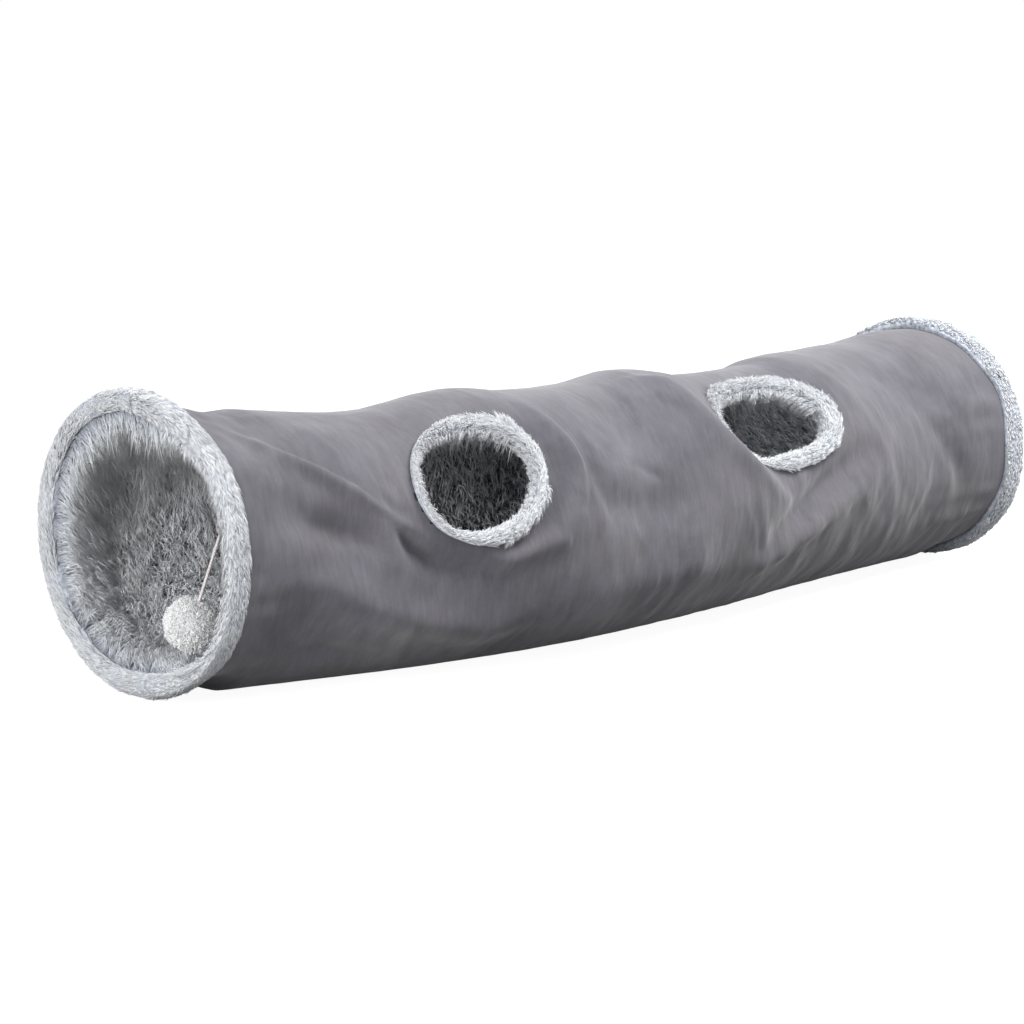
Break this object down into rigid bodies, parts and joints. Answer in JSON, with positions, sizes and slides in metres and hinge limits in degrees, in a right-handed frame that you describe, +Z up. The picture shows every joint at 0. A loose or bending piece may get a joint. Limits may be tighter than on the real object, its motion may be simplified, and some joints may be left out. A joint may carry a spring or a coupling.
{
  "type": "cat play tunnel",
  "caption": "Spring-coil cloth cat tunnel with plush-bound open mouths, plush-bound side holes and a soft ball hanging on a cord in the front mouth.",
  "frame": {"origin": "bottom centre of the bounding box, on the floor under the tunnel", "axes": "+X along the tunnel from the front mouth, where the ball hangs, to the rear mouth; -Y is the side that the side holes face; +Z up"},
  "size_m": [1.2188, 0.358, 0.3025],
  "materials": {
    "suede_cloth": "brushed suede-look polyester",
    "frosted_plush": "pale frosted plush",
    "lining_plush": "long-pile plush, dark at the root and white at the tip",
    "spring_steel": "drawn spring wire",
    "casing_tape": "woven tape",
    "tip_plastic": "moulded cap",
    "cord_cotton": "smooth braided cord",
    "ball_plush": "short curly plush"
  },
  "bodies": {
    "front": {"outer_cover": "suede_cloth", "plush_lining": "lining_plush", "spring_wire": "spring_steel", "casing_tape": "casing_tape", "wire_tip_front": "tip_plastic", "front_rim": "frosted_plush", "cord_anchor_tab": "casing_tape", "hole_rim_front": "frosted_plush", "hole_rim_rear": "frosted_plush"},
    "rear": {"rear_rim": "frosted_plush", "wire_tip_rear": "tip_plastic"},
    "knot": {"cord_knot": "cord_cotton"},
    "toy": {"toy_cord": "cord_cotton", "stop_knot": "cord_cotton", "pompom": "ball_plush"}
  },
  "joints": [
    {"name": "collapse", "type": "slide", "parent": "front", "child": "rear", "axis": [-1, 0, 0], "range_m": [0, 1.07], "stiffness_N_per_m": 8, "deforming": ["outer_cover", "plush_lining", "spring_wire", "casing_tape", "hole_rim_front", "hole_rim_rear"]},
    {"name": "toy_swing", "type": "hinge", "parent": "front", "child": "knot", "pos_m": [-0.56944, -0.08312, 0.17633], "axis": [1, 0, 0], "range_deg": [0, 60]},
    {"name": "toy_turn", "type": "hinge", "parent": "knot", "child": "toy", "pos_m": [-0.56944, -0.08312, 0.17633], "axis": [0, 1, 0], "range_deg": [-60, 60]}
  ]
}
